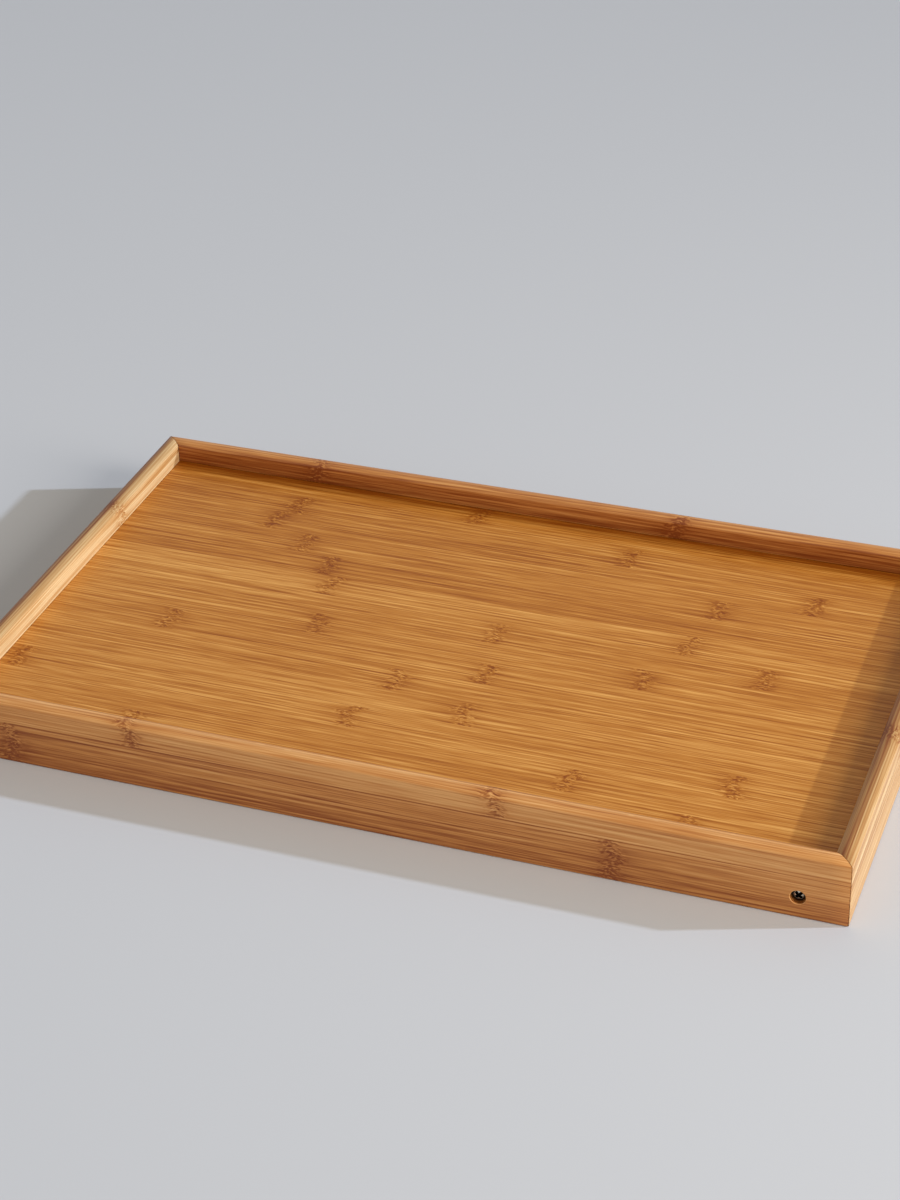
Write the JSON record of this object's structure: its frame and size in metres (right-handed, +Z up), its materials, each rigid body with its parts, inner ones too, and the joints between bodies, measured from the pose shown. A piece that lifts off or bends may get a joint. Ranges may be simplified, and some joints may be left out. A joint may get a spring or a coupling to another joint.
{
  "type": "breakfast tray",
  "caption": "Rectangular bamboo bed tray with a shallow well inside a raised mitred rim, and folding leg frames that swing out from under the panel on screw pivots.",
  "frame": {"origin": "on the ground under the middle of the tray", "axes": "+X along the tray's length towards its right end, +Y to the back, +Z up"},
  "size_m": [0.5, 0.3, 0.038],
  "materials": {
    "bamboo_rail": "satin lacquered laminated bamboo",
    "bamboo_panel": "satin lacquered bamboo board with its grain along the length",
    "bamboo_leg": "satin lacquered bamboo",
    "plated_steel": "bright zinc plated"
  },
  "bodies": {
    "tray": {"front_rail": "bamboo_rail", "back_rail": "bamboo_rail", "left_rail": "bamboo_rail", "right_rail": "bamboo_rail", "tray_panel": "bamboo_panel", "left_front_stop_block": "bamboo_leg", "left_back_stop_block": "bamboo_leg", "right_front_stop_block": "bamboo_leg", "right_back_stop_block": "bamboo_leg"},
    "left_legs": {"left_front_leg": "bamboo_leg", "left_back_leg": "bamboo_leg", "left_crossbar": "bamboo_leg", "left_front_pivot_screw": "plated_steel", "left_back_pivot_screw": "plated_steel", "left_front_washer": "plated_steel", "left_back_washer": "plated_steel"},
    "right_legs": {"right_front_leg": "bamboo_leg", "right_back_leg": "bamboo_leg", "right_crossbar": "bamboo_leg", "right_front_pivot_screw": "plated_steel", "right_back_pivot_screw": "plated_steel", "right_front_washer": "plated_steel", "right_back_washer": "plated_steel"}
  },
  "joints": [
    {"name": "left_leg_fold", "type": "hinge", "parent": "tray", "child": "left_legs", "pos_m": [-0.22417, 0, 0.0121], "axis": [0, 1, 0], "range_deg": [0, 95]},
    {"name": "right_leg_fold", "type": "hinge", "parent": "tray", "child": "right_legs", "pos_m": [0.22417, 0, 0.0121], "axis": [0, -1, 0], "range_deg": [0, 95]}
  ]
}
